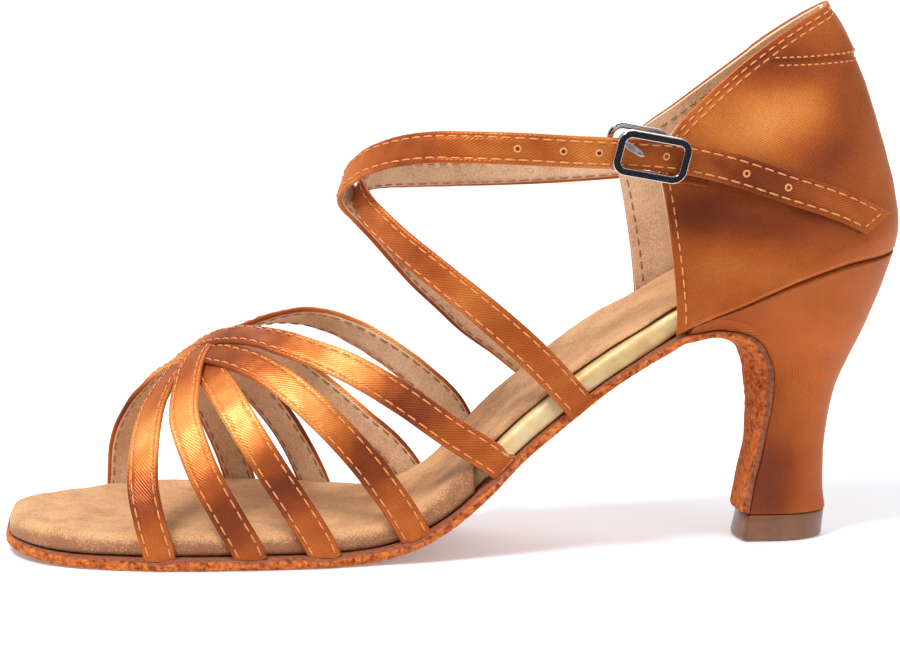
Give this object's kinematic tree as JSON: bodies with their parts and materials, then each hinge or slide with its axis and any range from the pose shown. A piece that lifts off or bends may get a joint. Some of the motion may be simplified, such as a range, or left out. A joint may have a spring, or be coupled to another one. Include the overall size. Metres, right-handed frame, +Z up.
{
  "type": "dance sandal",
  "caption": "Strappy satin dance sandal with a flared heel, crossed toe straps and a buckled instep strap, for a left foot.",
  "frame": {"origin": "on the floor under the middle of the heel's top piece", "axes": "-X towards the toe along the shoe, -Y towards the outer side of the foot, +Z up"},
  "size_m": [0.2264, 0.0795, 0.1369],
  "materials": {
    "satin": "satin weave",
    "suede": "suede",
    "sock_cloth": "brushed microfibre",
    "gold_board": "metallic, matte",
    "tip": "moulded",
    "chrome": "polished"
  },
  "bodies": {
    "root": {"outsole": "suede", "insole": "gold_board", "sock": "sock_cloth", "heel": "satin", "top_piece": "tip", "quarter": "satin", "vamp_straps": "satin", "instep_straps": "satin", "buckle_frame": "chrome", "buckle_hook": "chrome", "buckle_prong": "chrome", "buckle_loop": "satin"}
  },
  "joints": []
}
